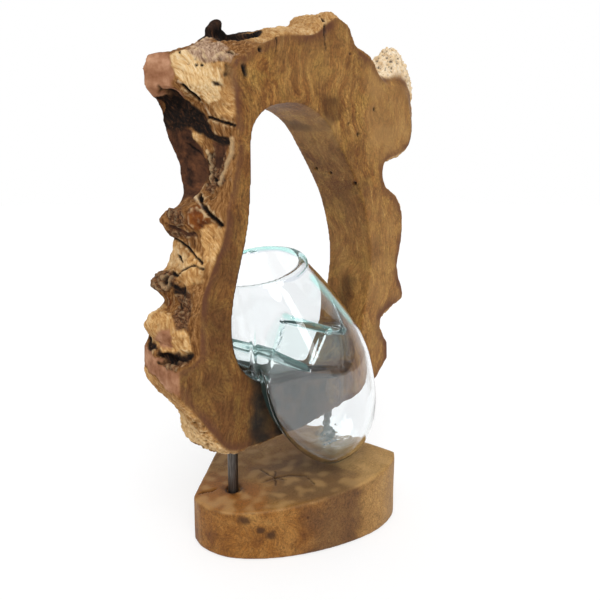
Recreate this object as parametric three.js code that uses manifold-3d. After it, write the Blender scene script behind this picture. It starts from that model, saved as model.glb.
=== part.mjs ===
// Hanging glass vase: a blown glass vessel that hangs over the sill of a window cut in an upright
// live-edge root slab. The slab stands on two steel rods in a wedge-shaped wooden plinth.
// Millimetres, +Z up. The origin is on the plinth's underside. +X runs along the slab from the near
// rod to the far rod, and the slab's smooth front face looks along -Y.

import * as THREE from 'three';
import { mergeVertices } from 'three/addons/utils/BufferGeometryUtils.js';
import Module from 'manifold-3d';

const wasm = await Module();
wasm.setup();

// Plinth
const plinthLowHeight = 46;
const plinthHighHeight = 66;
const plinthEdgeBreak = 1.5;
const plinthCurveSteps = 40;
const stainRingDiameter = 15;
const stainRingDepth = 2.5;

// Steel rods
const rodDiameter = 10;
const rodLeftX = -61;
const rodRightX = 75;
const rodInPlinth = 30;
const rodLeftInSlab = 26;
const rodRightInSlab = 24;
const rodBoreClearance = 0.4;
const rodEndClearance = 0.5;
const rodShowing = 47;
const rodSides = 40;

// Root slab
const slabThickness = 60;
const liveEdgeRoundness = 4;
const rimSteps = 128;
const rimLayers = [0, 0.07, 0.2, 0.35, 0.5, 0.65, 0.8, 0.93, 1];
const windowSteps = 66;

// Glass
const glassWall = 4;
const glassFootWall = 7;
const glassSeatClearance = 1;
const glassAroundSteps = 60;
const glassAlongSteps = 34;

// How far the egg's skin is carried on past the mouth, and how much narrower it gets there, before the
// mouth is cut off square to its own axis.
const glassNeckRun = 34;
const glassNeckTaper = 6;

// In front of the slab the lobe is where two eggs overlap. The second stands this far forward, which
// rounds the lobe off towards the wood.
const lobeRounding = 42;

// A cutting solid runs this far past what it cuts.
const cutOvershoot = 20;

// Plan outline of the plinth, [x, y]. The first run is the smooth band-sawn front, the rest are
// straight saw cuts.
const plinthCurve = [
  [-93, 22], [-98, 4], [-94, -23], [-78, -46], [-47, -70], [-1, -89], [47, -96], [81, -88], [94, -79],
];
const plinthCuts = [
  [93, -43], [91, 10], [84, 46], [58, 72], [20, 80], [-22, 76],
];
const plinthLeftX = -98;
const plinthRightX = 94;

// The slab's live edge: [front x, front z, back x, back z], heights from the slab's underside.
const liveEdge = [
  [-92, 9, -82, 0],
  [-102, 19, -96, 8],
  [-119, 41, -99, 30],
  [-133, 58, -106, 48],
  [-145, 72, -124, 63],
  // flat sawn facet low on the left
  [-144, 78, -137, 80],
  [-143, 99, -138, 109],
  // crevice and golden burl above it
  [-123, 101, -133, 117],
  [-120, 132, -137, 129],
  [-119, 146, -117, 138],
  [-118, 155, -115, 145],
  // grey bark knot
  [-112, 167, -125, 155],
  [-107, 175, -126, 164],
  [-103, 184, -112, 174],
  [-96, 197, -105, 184],
  [-90, 211, -103, 202],
  // nub
  [-87, 224, -117, 215],
  [-85, 233, -116, 222],
  [-83, 244, -97, 229],
  [-80, 256, -91, 240],
  [-77, 268, -93, 254],
  [-75, 282, -95, 267],
  [-75, 297, -102, 281],
  [-75, 311, -109, 297],
  [-75, 324, -114, 316],
  // flat sawn facet high on the left
  [-75, 337, -127, 330],
  [-74, 352, -124, 357],
  [-70, 355, -102, 360],
  [-64, 358, -84, 370],
  [-58, 361, -70, 375],
  // rim of the charred hollow, high at the back
  [-50, 366, -55, 386],
  [-42, 370, -47, 393],
  [-34, 374, -39, 386],
  [-22, 379, -20, 387],
  // crown, broken off to a slope that rises towards the back
  [-7, 381, -3, 389],
  [10, 383, 21, 396],
  [22, 386, 43, 401],
  [31, 392, 50, 409],
  [41, 399, 62, 412],
  [50, 404, 74, 413],
  [63, 401, 84, 406],
  [73, 395, 90, 395],
  [78, 384, 94, 384],
  [92, 375, 104, 376],
  // knob on the right shoulder, set back from the front face
  [105, 371, 114, 373],
  [115, 361, 124, 368],
  [125, 352, 134, 363],
  [138, 346, 144, 359],
  [153, 345, 156, 355],
  [166, 341, 165, 346],
  [173, 326, 170, 330],
  [177, 312, 175, 314],
  [178, 298, 176, 298],
  [172, 283, 172, 284],
  // notch in the right edge
  [150, 273, 155, 273],
  [131, 267, 137, 266],
  [129, 256, 135, 255],
  [135, 243, 141, 242],
  [151, 235, 151, 233],
  [163, 217, 161, 215],
  [166, 194, 164, 192],
  [160, 166, 159, 164],
  [159, 151, 158, 150],
  [168, 130, 166, 130],
  [170, 118, 167, 117],
  [156, 110, 157, 110],
  [135, 103, 137, 103],
  [128, 92, 132, 91],
  // sawn corner low on the right
  [149, 60, 147, 60],
  [121, 28, 118, 31],
  [99, 19, 98, 20],
  [70, 17, 71, 15],
  [38, 12, 39, 9],
  [0, 7, 0, 3],
  [-40, 5, -40, -1],
  [-74, 5, -68, -1],
];

// Swellings and hollows of the live edge: centre, reach and how far the wood stands out there.
const growths = [
  // left edge, from the charred hollow at the top down to the lumpy bark under the sawn facet
  { at: [-93, 8, 300], reach: 24, out: -9 },
  { at: [-87, 6, 258], reach: 22, out: -6 },
  { at: [-92, -4, 212], reach: 18, out: 6 },
  { at: [-108, 0, 184], reach: 16, out: 3 },
  { at: [-130, 2, 130], reach: 16, out: 6 },
  { at: [-112, -8, 34], reach: 16, out: 5 },
  // charred hollow in the top
  { at: [-42, 8, 384], reach: 17, out: -15 },
  // right edge, from the knob down
  { at: [156, -10, 346], reach: 26, out: 42 },
  { at: [177, -12, 304], reach: 25, out: 14 },
  { at: [128, 6, 258], reach: 18, out: -5 },
  { at: [166, -12, 200], reach: 26, out: 12 },
  { at: [169, -10, 122], reach: 15, out: 9 },
];

// The window's outline, [x, z], heights from the slab's underside. Its lower run is the sill.
const windowOutline = [
  [-20, 319], [0, 321], [22, 316], [42, 304], [58, 285], [76, 261], [92, 237], [103, 209], [109, 184],
  [110, 164], [107, 140], [101, 114], [93, 84], [84, 62], [70, 51], [50, 52], [26, 57], [0, 60],
  [-28, 61], [-48, 65], [-62, 73], [-70, 80], [-78, 92], [-83, 112], [-82, 142], [-75, 169],
  [-63, 210], [-59, 244], [-58, 276], [-56, 296], [-46, 309], [-34, 316],
];

const slabHalf = slabThickness / 2;

// The vessel is an egg along a leaning axis: [distance from the mouth, radius]. Its mouth stands in the
// window and the middle of its lobe just in front of the slab.
const mouthBehindFront = 40;
const lobeBeforeFront = 3;
const mouthCentre = new THREE.Vector3(-23, mouthBehindFront - slabHalf, 170);
const lobeCentre = new THREE.Vector3(24, -slabHalf - lobeBeforeFront, 27);
const mouthNormal = new THREE.Vector3(-0.32, -0.06, 0.945).normalize();
const eggProfile = [
  [0, 44], [36, 55.5], [60, 62.5], [94, 69], [112, 70], [131, 68.5], [165, 60], [190, 48], [208, 32],
  [216, 14],
];
const eggLength = 218;

// The step pressed into the vessel's seat, [x, z]: a riser and the tread to its right, outside and
// inside the glass.
const seatStepOutside = [[12, 62], [34, 96], [95, 84]];
const seatStepInside = [[-66, 112], [-30, 91], [24, 69], [41, 104], [95, 92]];

const materials = {
  plinth: new THREE.MeshStandardMaterial({ name: 'oiled wood', color: 0x9a6a35, roughness: 0.6 }),
  slab: new THREE.MeshStandardMaterial({ name: 'oiled root wood', color: 0x8f6a3c, roughness: 0.6 }),
  steel: new THREE.MeshStandardMaterial({
    name: 'dark steel', color: 0x4a4a4c, roughness: 0.45, metalness: 0.9,
  }),
  glass: new THREE.MeshStandardMaterial({ name: 'recycled glass', color: 0xcfe6e2, roughness: 0.05 }),
};

function plinthTopAt(x) {
  const share = (x - plinthLeftX) / (plinthRightX - plinthLeftX);
  return plinthLowHeight + (plinthHighHeight - plinthLowHeight) * share;
}

const slabLift = plinthTopAt(rodLeftX) + rodShowing;

function toSolid(geometry) {
  const plain = geometry.index ? geometry.toNonIndexed() : geometry.clone();
  plain.deleteAttribute('normal');
  plain.deleteAttribute('uv');
  const merged = mergeVertices(plain, 1e-4);
  const mesh = new wasm.Mesh({
    numProp: 3,
    vertProperties: new Float32Array(merged.attributes.position.array),
    triVerts: new Uint32Array(merged.index.array),
  });
  return new wasm.Manifold(mesh);
}

function toMesh(solid, name, material) {
  const raw = solid.getMesh();
  const geometry = new THREE.BufferGeometry();
  geometry.setAttribute('position', new THREE.BufferAttribute(new Float32Array(raw.vertProperties), 3));
  geometry.setIndex(new THREE.BufferAttribute(new Uint32Array(raw.triVerts), 1));
  geometry.computeVertexNormals();
  const mesh = new THREE.Mesh(geometry, material);
  mesh.name = name;
  return mesh;
}

// A closed skin from rings of equal length, flat at both ends. Each ring runs anticlockwise round the
// way in which the rings follow one another.
function skinFromRings(rings, capContour) {
  const count = rings[0].length;
  const positions = rings.flat().flatMap((p) => [p.x, p.y, p.z]);
  const faces = [];
  for (let r = 0; r < rings.length - 1; r += 1) {
    for (let i = 0; i < count; i += 1) {
      const a = r * count + i;
      const b = r * count + ((i + 1) % count);
      faces.push(a, b, a + count, b, b + count, a + count);
    }
  }
  const last = (rings.length - 1) * count;
  for (const [a, b, c] of THREE.ShapeUtils.triangulateShape(capContour(rings[0]), [])) {
    faces.push(a, c, b);
  }
  for (const [a, b, c] of THREE.ShapeUtils.triangulateShape(capContour(rings[rings.length - 1]), [])) {
    faces.push(last + a, last + b, last + c);
  }
  const geometry = new THREE.BufferGeometry();
  geometry.setAttribute('position', new THREE.Float32BufferAttribute(positions, 3));
  geometry.setIndex(faces);
  return geometry;
}

// A curve through [x, z] points, sampled evenly by station.
function smoothOutline(points, steps) {
  const curve = new THREE.CatmullRomCurve3(points.map(([x, z]) => new THREE.Vector3(x, 0, z)), true);
  return Array.from({ length: steps }, (unused, i) => {
    const p = curve.getPoint(i / steps);
    return new THREE.Vector2(p.x, p.z);
  });
}

// An outline that runs clockwise seen from the front, moved inwards by a distance.
function drawnIn(outline, distance) {
  return outline.map((point, i) => {
    const before = outline[(i + outline.length - 1) % outline.length];
    const after = outline[(i + 1) % outline.length];
    const along = after.clone().sub(before).normalize();
    return new THREE.Vector2(point.x + along.y * distance, point.y - along.x * distance);
  });
}

// A prism of an [x, z] outline that runs along Y.
function prismAlongY(outline, yFrom, yTo) {
  const shape = new THREE.Shape(outline.map((p) => new THREE.Vector2(p.x, p.y)));
  const geometry = new THREE.ExtrudeGeometry(shape, { depth: yTo - yFrom, bevelEnabled: false });
  geometry.rotateX(Math.PI / 2);
  geometry.translate(0, yTo, 0);
  return toSolid(geometry);
}

function uprightRod(diameter, zFrom, zTo, x) {
  const geometry = new THREE.CylinderGeometry(diameter / 2, diameter / 2, zTo - zFrom, rodSides);
  geometry.rotateX(Math.PI / 2);
  geometry.translate(x, 0, (zFrom + zTo) / 2);
  return toSolid(geometry);
}

const rodBore = rodDiameter + 2 * rodBoreClearance;
const rods = [
  { name: 'rod_left', x: rodLeftX, inSlab: rodLeftInSlab },
  { name: 'rod_right', x: rodRightX, inSlab: rodRightInSlab },
];

function makePlinth() {
  const curve = new THREE.CatmullRomCurve3(plinthCurve.map(([x, y]) => new THREE.Vector3(x, y, 0)));
  const plan = [
    ...curve.getPoints(plinthCurveSteps).map((p) => new THREE.Vector2(p.x, p.y)),
    ...plinthCuts.map(([x, y]) => new THREE.Vector2(x, y)),
  ];
  const middle = plan.reduce((sum, p) => sum.add(p), new THREE.Vector2()).divideScalar(plan.length);
  const ring = (inset, height) => plan.map((p) => {
    const inwards = middle.clone().sub(p).setLength(inset);
    const x = p.x + inwards.x;
    return new THREE.Vector3(x, p.y + inwards.y, height(x));
  });
  const rings = [
    ring(plinthEdgeBreak, () => 0),
    ring(0, () => plinthEdgeBreak),
    ring(0, (x) => plinthTopAt(x) - plinthEdgeBreak),
    ring(plinthEdgeBreak, plinthTopAt),
  ];
  const contour = (points) => points.map((p) => new THREE.Vector2(p.x, p.y));
  let plinth = toSolid(skinFromRings(rings, contour));
  for (const rod of rods) {
    const top = plinthTopAt(rod.x);
    const above = top + cutOvershoot;
    plinth = plinth
      .subtract(uprightRod(rodBore, top - rodInPlinth - rodEndClearance, above, rod.x))
      .subtract(uprightRod(stainRingDiameter, top - stainRingDepth, above, rod.x));
  }
  return toMesh(plinth, 'base_plinth', materials.plinth);
}

// The height at which the front face ends below, above or below its underside's level.
function undersideAt(x) {
  let height = Infinity;
  for (let i = 0; i < liveEdge.length; i += 1) {
    const [xa, za] = liveEdge[i];
    const [xb, zb] = liveEdge[(i + 1) % liveEdge.length];
    if ((xa - x) * (xb - x) <= 0 && xa !== xb) {
      height = Math.min(height, za + ((zb - za) * (x - xa)) / (xb - xa));
    }
  }
  return height;
}

// One line along the live edge, at a share of the way from the front face to the back.
function liveEdgeRing(front, back, share) {
  const line = front.map((point, i) => point.clone().lerp(back[i], share));
  const fromEdge = 1 - (2 * share - 1) ** 4;
  return line.map((point, i) => {
    const before = line[(i + rimSteps - 1) % rimSteps];
    const after = line[(i + 1) % rimSteps];
    const along = after.clone().sub(before).normalize();
    const outwards = new THREE.Vector3(-along.z, 0, along.x);
    let out = liveEdgeRoundness * (fromEdge - 0.5);
    for (const growth of growths) {
      const gap = point.distanceTo(new THREE.Vector3(...growth.at)) / growth.reach;
      out += growth.out * fromEdge * Math.exp(-gap * gap);
    }
    return point.clone().addScaledVector(outwards, out);
  });
}

function makeSlab() {
  const edgeLine = (points) => {
    const curve = new THREE.CatmullRomCurve3(points, true, 'centripetal');
    return Array.from({ length: rimSteps }, (unused, i) => curve.getPoint(i / rimSteps));
  };
  const front = edgeLine(liveEdge.map(([x, z]) => new THREE.Vector3(x, -slabHalf, z)));
  const back = edgeLine(liveEdge.map(([, , x, z]) => new THREE.Vector3(x, slabHalf, z)));
  const rings = rimLayers.map((share) => liveEdgeRing(front, back, share));
  const contour = (points) => points.map((p) => new THREE.Vector2(p.x, p.z));
  const backToFront = rings.map((ring) => ring.reverse()).reverse();
  let slab = toSolid(skinFromRings(backToFront, contour));
  const opening = smoothOutline(windowOutline, windowSteps);
  slab = slab.subtract(prismAlongY(opening, -slabHalf - cutOvershoot, slabHalf + cutOvershoot));
  for (const rod of rods) {
    const top = undersideAt(rod.x) + rod.inSlab + rodEndClearance;
    slab = slab.subtract(uprightRod(rodBore, -cutOvershoot, top, rod.x));
  }
  const mesh = toMesh(slab, 'wood_frame', materials.slab);
  mesh.position.z = slabLift;
  return mesh;
}

function makeRod(rod) {
  const bottom = plinthTopAt(rod.x) - rodInPlinth;
  const top = slabLift + undersideAt(rod.x) + rod.inSlab;
  return toMesh(uprightRod(rodDiameter, bottom, top, rod.x), rod.name, materials.steel);
}

// The egg with its radius reduced by a wall and its foot raised, moved forward by a distance.
function eggSolid(wall, footWall, forward) {
  const stations = [
    new THREE.Vector3(eggProfile[0][1] - glassNeckTaper, -glassNeckRun, 0),
    ...eggProfile.map(([distance, radius]) => new THREE.Vector3(radius, distance, 0)),
    new THREE.Vector3(0, eggLength, 0),
  ];
  const curve = new THREE.CatmullRomCurve3(stations);
  const squeeze = (eggLength - footWall) / eggLength;
  const profile = curve.getPoints(glassAlongSteps).map((p) => {
    const distance = p.y > 0 ? p.y * squeeze : p.y;
    return new THREE.Vector2(Math.max(p.x - wall, 0), distance);
  });
  profile[profile.length - 1].x = 0;
  profile.unshift(new THREE.Vector2(0, -glassNeckRun));
  const geometry = new THREE.LatheGeometry(profile, glassAroundSteps);
  const down = lobeCentre.clone().sub(mouthCentre).normalize();
  const turn = new THREE.Quaternion().setFromUnitVectors(new THREE.Vector3(0, 1, 0), down);
  geometry.applyQuaternion(turn);
  geometry.translate(mouthCentre.x, mouthCentre.y - forward, mouthCentre.z);
  return toSolid(geometry);
}

// The room that the wood leaves the vessel: the window, less the step in its seat, and all that lies
// in front of the slab.
function roomForVessel(gap, step) {
  const reach = 2 * eggLength;
  const frontFace = -slabHalf - gap;
  const outline = (points) => points.map(([x, z]) => new THREE.Vector2(x, z));
  const opening = drawnIn(smoothOutline(windowOutline, windowSteps), gap);
  const stepEnd = [[reach, step[step.length - 1][1]], [reach, -reach]];
  const stepUnder = outline([[step[0][0], -reach], ...step, ...stepEnd]);
  const inWindow = prismAlongY(opening, frontFace - cutOvershoot, reach)
    .subtract(prismAlongY(stepUnder, frontFace, reach + cutOvershoot));
  const inFront = prismAlongY(outline([[-reach, -reach], [reach, -reach], [reach, reach], [-reach, reach]]),
    -reach, frontFace);
  return { inWindow, inFront };
}

function vesselSkin(wall, footWall, gap, step) {
  const { inWindow, inFront } = roomForVessel(gap, step);
  const egg = eggSolid(wall, footWall, 0);
  const lobe = egg.intersect(eggSolid(wall, footWall, lobeRounding)).intersect(inFront);
  return egg.intersect(inWindow).add(lobe);
}

function makeVase() {
  const outside = vesselSkin(0, 0, glassSeatClearance, seatStepOutside);
  const cavity = vesselSkin(glassWall, glassFootWall, glassSeatClearance + glassWall, seatStepInside);
  const lid = new THREE.BoxGeometry(eggLength, eggLength, eggLength);
  lid.translate(0, 0, eggLength / 2);
  lid.applyQuaternion(new THREE.Quaternion().setFromUnitVectors(new THREE.Vector3(0, 0, 1), mouthNormal));
  lid.translate(mouthCentre.x, mouthCentre.y, mouthCentre.z);
  const vase = outside.subtract(cavity).subtract(toSolid(lid));
  const mesh = toMesh(vase, 'glass_vase', materials.glass);
  mesh.position.z = slabLift;
  return mesh;
}

const hangingVase = new THREE.Group();
hangingVase.add(makePlinth());
for (const rod of rods) {
  hangingVase.add(makeRod(rod));
}
hangingVase.add(makeSlab());
hangingVase.add(makeVase());

export default hangingVase;
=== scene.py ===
import math
from itertools import product

import bpy
import numpy as np
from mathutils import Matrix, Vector
from mathutils.kdtree import KDTree


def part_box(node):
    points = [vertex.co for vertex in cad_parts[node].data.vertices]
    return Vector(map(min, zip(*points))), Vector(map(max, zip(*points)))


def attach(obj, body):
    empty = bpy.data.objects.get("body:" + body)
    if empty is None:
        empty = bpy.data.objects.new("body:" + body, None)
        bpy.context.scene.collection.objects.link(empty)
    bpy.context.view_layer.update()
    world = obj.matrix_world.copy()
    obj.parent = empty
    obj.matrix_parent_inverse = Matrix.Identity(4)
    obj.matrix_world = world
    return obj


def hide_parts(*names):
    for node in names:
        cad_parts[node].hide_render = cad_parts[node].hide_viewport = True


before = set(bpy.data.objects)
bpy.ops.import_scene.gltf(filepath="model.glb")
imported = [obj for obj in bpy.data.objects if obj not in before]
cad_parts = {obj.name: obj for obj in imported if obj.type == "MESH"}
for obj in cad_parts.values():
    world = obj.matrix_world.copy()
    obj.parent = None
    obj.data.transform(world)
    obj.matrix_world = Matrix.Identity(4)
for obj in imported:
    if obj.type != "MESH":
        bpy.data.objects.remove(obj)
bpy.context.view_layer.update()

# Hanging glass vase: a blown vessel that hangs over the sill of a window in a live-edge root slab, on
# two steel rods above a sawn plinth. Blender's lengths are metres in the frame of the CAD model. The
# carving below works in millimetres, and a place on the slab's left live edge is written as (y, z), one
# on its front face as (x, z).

MM = 0.001
chance = np.random.RandomState(11)


# Fields in space that the carving reads. Points are rows of x, y, z in millimetres.

LATTICE = 256
lattice_order = chance.permutation(LATTICE)
lattice_slopes = chance.normal(size=(LATTICE, 3))
lattice_slopes /= np.linalg.norm(lattice_slopes, axis=1, keepdims=True)


def ease(value, start, end):
    """0 at the start, 1 at the end, smooth between. The end may be the lower of the two."""
    share = np.clip((value - start) / (end - start), 0, 1)
    return share * share * (3 - 2 * share)


def swell(points, size, shift=0.0):
    """Smooth random swelling, about -1 to 1, whose lumps are as large as size."""
    spot = np.asarray(points) / size + shift
    cell = np.floor(spot).astype(int)
    inside = spot - cell
    blend = inside ** 3 * (inside * (inside * 6 - 15) + 10)
    total = np.zeros(len(spot))
    for corner in product((0, 1), repeat=3):
        at = (cell + corner) % LATTICE
        pick = lattice_order[(lattice_order[at[:, 0]] + at[:, 1]) % LATTICE]
        pick = lattice_order[(pick + at[:, 2]) % LATTICE]
        share = np.prod(np.where(corner, blend, 1 - blend), axis=1)
        total += share * ((inside - corner) * lattice_slopes[pick]).sum(1)
    return total * 1.7


def rough(points, size, octaves, shift=0.0):
    """Swellings on swellings, each half as large and half as high as the last."""
    return sum(swell(points, size / 2 ** k, shift + 7.3 * k) / 2 ** k for k in range(octaves))


def patches(points, size, shift, start=-0.3, end=0.3):
    """Soft random patches, about as large as size, from 0 to 1."""
    return ease(swell(points, size, shift), start, end)


def shaken(points, size, reach):
    """The points moved about at random, so that what is drawn with them gets a natural outline."""
    return points + reach * np.stack([rough(points, size, 3, shift) for shift in (1.1, 5.2, 9.4)], 1)


def off_lines(spots, lines):
    """Distance from the nearest of some straight lines, each a start and an end, in two or three
    dimensions."""
    nearest = np.full(len(spots), np.inf)
    for start, end in lines:
        start = np.array(start, float)
        along = np.array(end, float) - start
        share = np.clip((spots - start) @ along / (along @ along), 0, 1)
        nearest = np.minimum(nearest, np.linalg.norm(spots - start - share[:, None] * along, axis=1))
    return nearest


def off_outline(spots, outline):
    """Distance from a closed flat outline, below zero inside it."""
    sides = list(zip(outline, outline[1:] + outline[:1]))
    inside = np.zeros(len(spots), bool)
    for (xa, za), (xb, zb) in sides:
        spans = (za > spots[:, 1]) != (zb > spots[:, 1])
        meets = xa + (spots[:, 1] - za) * (xb - xa) / (zb - za + 1e-9)
        inside ^= spans & (spots[:, 0] < meets)
    far = off_lines(spots, sides)
    return np.where(inside, -far, far)


def charted(field, low, high, step=0.5):
    """A flat field read from a fine chart of itself, which is much quicker."""
    low = np.array(low, float)
    ticks = [np.arange(a, b, step) for a, b in zip(low, high)]
    spots = np.stack(np.meshgrid(*ticks, indexing="ij"), -1).reshape(-1, 2)
    chart = field(spots).reshape(len(ticks[0]), len(ticks[1]))

    def read(at):
        place = np.clip((at - low) / step, 0, np.array(chart.shape) - 1.001)
        i, j = place.astype(int).T
        a, b = (place - np.floor(place)).T
        below = chart[i, j] * (1 - a) + chart[i + 1, j] * a
        above = chart[i, j + 1] * (1 - a) + chart[i + 1, j + 1] * a
        return below * (1 - b) + above * b

    return read


def joined(a, b, width):
    """The larger of two fields, with the corner between them rounded over a width."""
    blend = np.maximum(width - np.abs(a - b), 0) / width
    return np.maximum(a, b) + blend * blend * width / 4


def either(*masks):
    """Masks laid over one another."""
    return np.maximum.reduce(masks)


# Mesh work.

def points_of(mesh):
    flat = np.empty(len(mesh.vertices) * 3)
    mesh.vertices.foreach_get("co", flat)
    return flat.reshape(-1, 3) / MM


def set_points(mesh, points):
    mesh.vertices.foreach_set("co", (points * MM).ravel())
    mesh.update()


def normals_of(mesh):
    flat = np.empty(len(mesh.vertices) * 3)
    mesh.vertex_normals.foreach_get("vector", flat)
    return flat.reshape(-1, 3)


def edges_of(mesh):
    flat = np.empty(len(mesh.edges) * 2, dtype=np.int32)
    mesh.edges.foreach_get("vertices", flat)
    return flat.reshape(-1, 2)


def relaxed(values, edges, rounds, share=0.5):
    """Each point's value drawn towards the middle of its neighbours' values."""
    flat = values.ndim == 1
    columns = values[:, None] if flat else values
    count = len(columns)
    ends = np.concatenate([edges[:, 0], edges[:, 1]])
    others = np.concatenate([edges[:, 1], edges[:, 0]])
    neighbours = np.maximum(np.bincount(ends, minlength=count), 1)[:, None]
    for _ in range(rounds):
        sums = [np.bincount(ends, column[others], count) for column in columns.T]
        columns = columns + share * (np.stack(sums, 1) / neighbours - columns)
    return columns[:, 0] if flat else columns


def keep_masks(mesh, **masks):
    """Keeps masks on a mesh, where its material reads them by name."""
    for name, values in masks.items():
        layer = mesh.attributes.new(name, "FLOAT", "POINT")
        layer.data.foreach_set("value", np.clip(values, 0, 1).astype(np.float32))


def box_of(node):
    """A node's lowest and highest corners in millimetres."""
    return [np.array(corner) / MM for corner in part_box(node)]


def put_in_scene(name, data):
    """A new object with its mesh, lamp or camera."""
    thing = bpy.data.objects.new(name, data)
    bpy.context.scene.collection.objects.link(thing)
    return thing


def finished_piece(name, mesh, material, body, node):
    """A piece in its material. It rides on a body and stands for a node of the CAD model."""
    mesh.shade_smooth()
    mesh.materials.append(material)
    piece = put_in_scene(name, mesh)
    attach(piece, body)
    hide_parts(node)


def applied(block):
    """The mesh of a helper object with its modifiers applied. The helper is removed."""
    mesh = bpy.data.meshes.new_from_object(block.evaluated_get(bpy.context.evaluated_depsgraph_get()))
    bpy.data.objects.remove(block)
    return mesh


def even_skin(source, cell):
    """A copy of a mesh with an even skin of small square faces, cell millimetres wide."""
    block = put_in_scene("block", source.copy())
    remesh = block.modifiers.new("even skin", "REMESH")
    remesh.mode = "VOXEL"
    remesh.voxel_size = cell * MM
    skin = applied(block)
    skin.materials.clear()
    return skin


def scooped(source, bowls):
    """A copy of a mesh with rough bowls taken out of it: the centre and half lengths along x, y, z. A
    bowl has lumps half as wide as its radius and a tenth of it high."""
    block = put_in_scene("block", source.copy())
    cutters = []
    for centre, reach in bowls:
        bpy.ops.mesh.primitive_ico_sphere_add(subdivisions=4, radius=1)
        cutter = bpy.context.object
        ball = points_of(cutter.data) * MM
        ball *= 1 + 0.10 * swell(ball * 100, 55)[:, None]
        set_points(cutter.data, ball * np.array(reach) + np.array(centre))
        cut = block.modifiers.new("bowl", "BOOLEAN")
        cut.operation = "DIFFERENCE"
        cut.solver = "EXACT"
        cut.object = cutter
        cutters.append(cutter)
    carved = applied(block)
    for cutter in cutters:
        bpy.data.objects.remove(cutter)
    return carved


def skin_of(field, low, high, cell):
    """The skin of a field as a mesh: a point in each small cube that the surface passes through, and a
    four-sided face round each side of the cubes that it crosses."""
    ticks = [np.arange(a, b, cell) for a, b in zip(low, high)]
    grid = np.stack(np.meshgrid(*ticks, indexing="ij"), -1)
    values = field(grid.reshape(-1, 3)).reshape(grid.shape[:3])
    shape = np.array(values.shape)
    spots = []
    faces = []
    for axis in range(3):
        first = np.moveaxis(values, axis, 0)[:-1]
        second = np.moveaxis(values, axis, 0)[1:]
        first, second = (np.moveaxis(part, 0, axis) for part in (first, second))
        start = np.argwhere((first < 0) != (second < 0))
        a, b = (part[tuple(start.T)] for part in (first, second))
        spot = start + (a / (a - b))[:, None] * np.eye(3)[axis]
        across, up = np.eye(3, dtype=int)[[(axis + 1) % 3, (axis + 2) % 3]]
        cubes = [start - across - up, start - up, start, start - across]
        cubes = np.stack([np.ravel_multi_index(cube.T, shape) for cube in cubes], 1)
        spots += [(cubes[:, k], spot) for k in range(4)]
        faces.append(np.where((a < 0)[:, None], cubes, cubes[:, ::-1]))
    cubes = np.concatenate([cube for cube, _ in spots])
    places = np.concatenate([spot for _, spot in spots])
    used, number = np.unique(cubes, return_inverse=True)
    count = np.bincount(number)[:, None]
    points = np.stack([np.bincount(number, column) for column in places.T], 1) / count
    mesh = bpy.data.meshes.new("skin")
    quads = np.searchsorted(used, np.concatenate(faces))
    mesh.from_pydata(((points * cell + low) * MM).tolist(), [], quads.tolist())
    mesh.validate()
    return mesh


# Materials.

def linear(hex_colour):
    """An sRGB hex colour as linear red, green, blue and alpha."""
    parts = [int(hex_colour[k:k + 2], 16) / 255 for k in (1, 3, 5)]
    return tuple(c / 12.92 if c <= 0.04045 else ((c + 0.055) / 1.055) ** 2.4 for c in parts) + (1.0,)


def add(tree, kind, inputs=None, **settings):
    """Adds a node with its settings, and its inputs as values, hex colours or the sockets that feed them,
    and gives its outputs. The setting called stops gives a colour ramp its places with their colours or
    grey levels."""
    node = tree.nodes.new("ShaderNode" + kind)
    for name, value in settings.items():
        if name == "stops":
            ramp = node.color_ramp
            while len(ramp.elements) < len(value):
                ramp.elements.new(0.5)
            for element, (place, colour) in zip(ramp.elements, value):
                element.position = place
                element.color = linear(colour) if isinstance(colour, str) else (colour, colour, colour, 1)
        else:
            setattr(node, name, value)
    for name, value in (inputs or {}).items():
        socket = node.inputs[name]
        if isinstance(value, bpy.types.NodeSocket):
            tree.links.new(value, socket)
        else:
            socket.default_value = linear(value) if isinstance(value, str) else value
    return node.outputs


def new_material(name):
    material = bpy.data.materials.new(name)
    material.use_nodes = True
    material.node_tree.nodes.clear()
    return material, material.node_tree


def wood_figure(tree, drift_mm, sway, table):
    """The clouds that a wood's figure is made of, by name. The table gives the places where each is read,
    its size in millimetres, its detail, its roughness and how far it is bent. Swayed places wander by
    about a centimetre, and upward and slanting ones are also drawn out five times along the grain."""
    still = add(tree, "TexCoord")["Object"]
    drift = add(tree, "TexNoise", {"Vector": still, "Scale": 1000 / drift_mm, "Detail": 2.0})["Color"]
    swayed = add(tree, "VectorMath", {0: drift, 1: (sway, sway, sway), 2: still},
                 operation="MULTIPLY_ADD")[0]
    places = {"still": still, "swayed": swayed}
    for name, lean in (("upward", 0), ("slanting", -45)):
        places[name] = add(tree, "Mapping", {
            "Vector": swayed, "Rotation": (math.radians(lean), 0.0, 0.0),
            "Scale": (1.0, 1.0, 5.0)}, vector_type="TEXTURE")[0]
    clouds = {}
    for name, place, size_mm, detail, coarse, bent in table:
        clouds[name] = add(tree, "TexNoise", {
            "Vector": places[place], "Scale": 1000 / size_mm, "Detail": detail, "Roughness": coarse,
            "Distortion": bent})["Fac"]
    return clouds


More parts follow.
